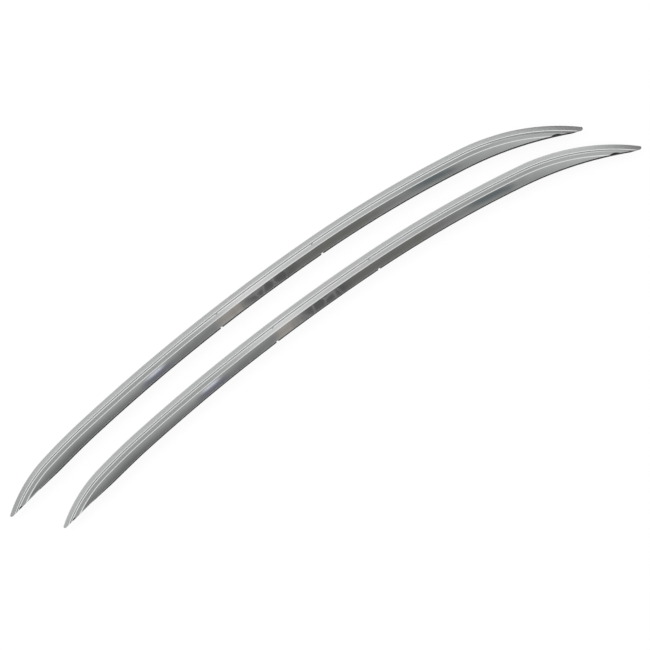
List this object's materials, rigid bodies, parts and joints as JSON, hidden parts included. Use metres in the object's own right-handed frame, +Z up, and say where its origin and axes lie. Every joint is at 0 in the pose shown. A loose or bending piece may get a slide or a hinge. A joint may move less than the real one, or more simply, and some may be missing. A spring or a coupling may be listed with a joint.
{
  "type": "roof side rail pair",
  "caption": "Pair of curved aluminium roof side rails with a crease and clamp groove along each flank, tapered ends, and a rubber-sealed foot with a bolted T-slot.",
  "frame": {"origin": "centre of the pair's box, on the floor that the rails lie on", "axes": "+X along the rails, from the rear ends to the front ends; +Y from the feet to the crowns; +Z up, from the flank that lies on the floor to the other"},
  "size_m": [1.6932, 0.2573, 0.037],
  "materials": {
    "rail_aluminium": "satin crown, polished flanks, anodised silver",
    "seal_rubber": "matt black",
    "plug_plastic": "matt black, fine grained",
    "nut_steel": "zinc plated",
    "spring_steel": "bright spring steel",
    "pad_rubber": "matt black"
  },
  "bodies": {
    "root": {"left_bolt_pads": "pad_rubber", "left_front_end_plug": "plug_plastic", "left_front_foot_seal": "seal_rubber", "left_middle_foot_seal": "seal_rubber", "left_nut_springs": "spring_steel", "left_rail_bar": "rail_aluminium", "left_rear_end_plug": "plug_plastic", "left_rear_foot_seal": "seal_rubber", "left_slot_nuts": "nut_steel", "right_bolt_pads": "pad_rubber", "right_front_end_plug": "plug_plastic", "right_front_foot_seal": "seal_rubber", "right_middle_foot_seal": "seal_rubber", "right_nut_springs": "spring_steel", "right_rail_bar": "rail_aluminium", "right_rear_end_plug": "plug_plastic", "right_rear_foot_seal": "seal_rubber", "right_slot_nuts": "nut_steel"}
  },
  "joints": []
}
